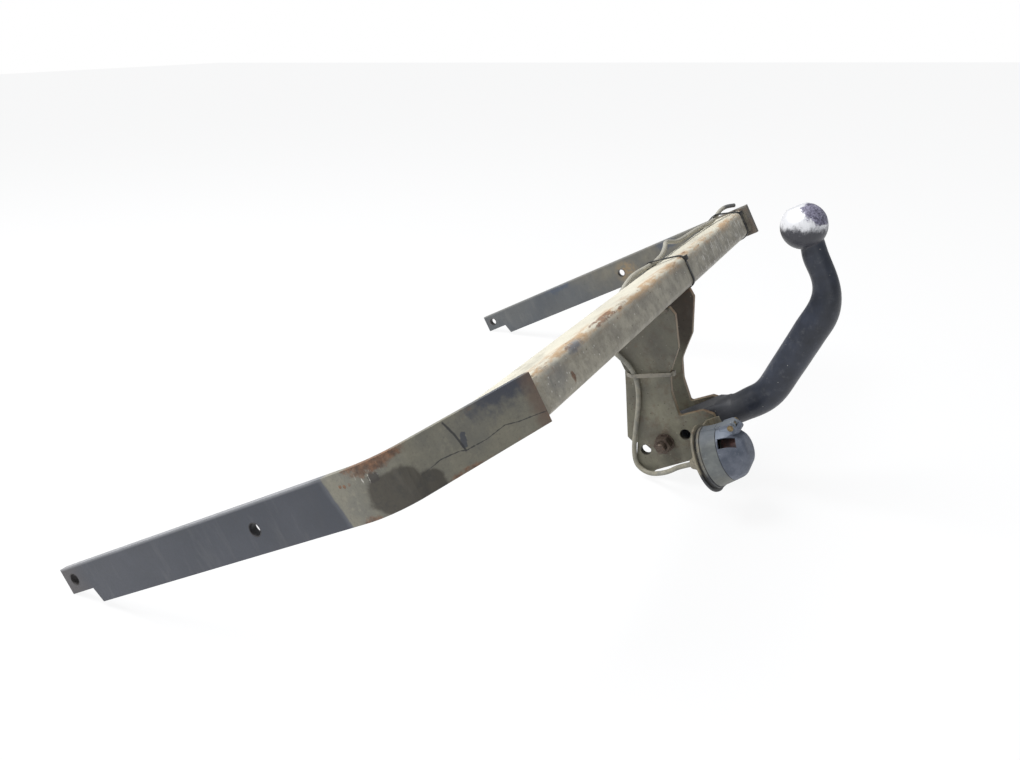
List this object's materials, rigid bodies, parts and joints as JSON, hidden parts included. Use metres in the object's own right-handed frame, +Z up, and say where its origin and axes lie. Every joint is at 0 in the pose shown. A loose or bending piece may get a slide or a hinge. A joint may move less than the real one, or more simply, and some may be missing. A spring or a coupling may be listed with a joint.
{
  "type": "towbar",
  "caption": "Car towbar frame with a cross beam, side arms, a drop fork, a swan neck with its ball, and a lidded trailer socket with its cable.",
  "frame": {"origin": "on the floor, below the middle of the bounding box measured without the cable", "axes": "+X to the car's right along the cross beam, +Y towards the car's front, +Z up; the towbar lies nose down by 27.7 degrees, as it does on a floor"},
  "size_m": [0.922, 0.6646, 0.3518],
  "materials": {
    "slate_paint": "worn satin paint, slate grey",
    "beige_paint": "weathered khaki beige paint with rust",
    "neck_coating": "satin blue-black coating, ball worn bright",
    "fastener_steel": "dull zinc with rust",
    "pin_steel": "yellowish zinc",
    "bracket_steel": "grey primer",
    "socket_alloy": "dusty blue-grey moulding",
    "rubber": "matt black rubber",
    "carrier_plastic": "black plastic",
    "contact_brass": "brass sleeves",
    "cable_jacket": "dusty grey-beige cable sheath",
    "tie_plastic": "black nylon"
  },
  "bodies": {
    "towbar": {"right_arm": "slate_paint", "left_arm": "slate_paint", "cross_beam": "beige_paint", "left_fork_plate": "beige_paint", "right_fork_plate": "beige_paint", "left_arm_weld": "beige_paint", "right_arm_weld": "beige_paint", "fork_welds": "beige_paint", "swan_neck": "neck_coating", "neck_bolt": "fastener_steel", "neck_nut": "fastener_steel", "neck_washers": "fastener_steel", "flange_screws": "fastener_steel", "flange_nuts": "fastener_steel", "lid_hinge_pin": "pin_steel", "lid_spring": "pin_steel", "socket_bracket": "bracket_steel", "socket_housing": "socket_alloy", "socket_gasket": "rubber", "cable_boot": "rubber", "contact_carrier": "carrier_plastic", "contact_sleeves": "contact_brass", "socket_cable": "cable_jacket", "left_beam_tie": "tie_plastic", "right_beam_tie": "tie_plastic", "fork_tie": "tie_plastic"},
    "lid": {"socket_lid": "socket_alloy", "lid_seal": "rubber"}
  },
  "joints": [
    {"name": "lid_hinge", "type": "hinge", "parent": "towbar", "child": "lid", "pos_m": [-0.02099, -0.24123, 0.11337], "axis": [-1, 0, 0], "range_deg": [0, 110], "stiffness_Nm_per_rad": 0.05, "springref_deg": -34.38}
  ]
}
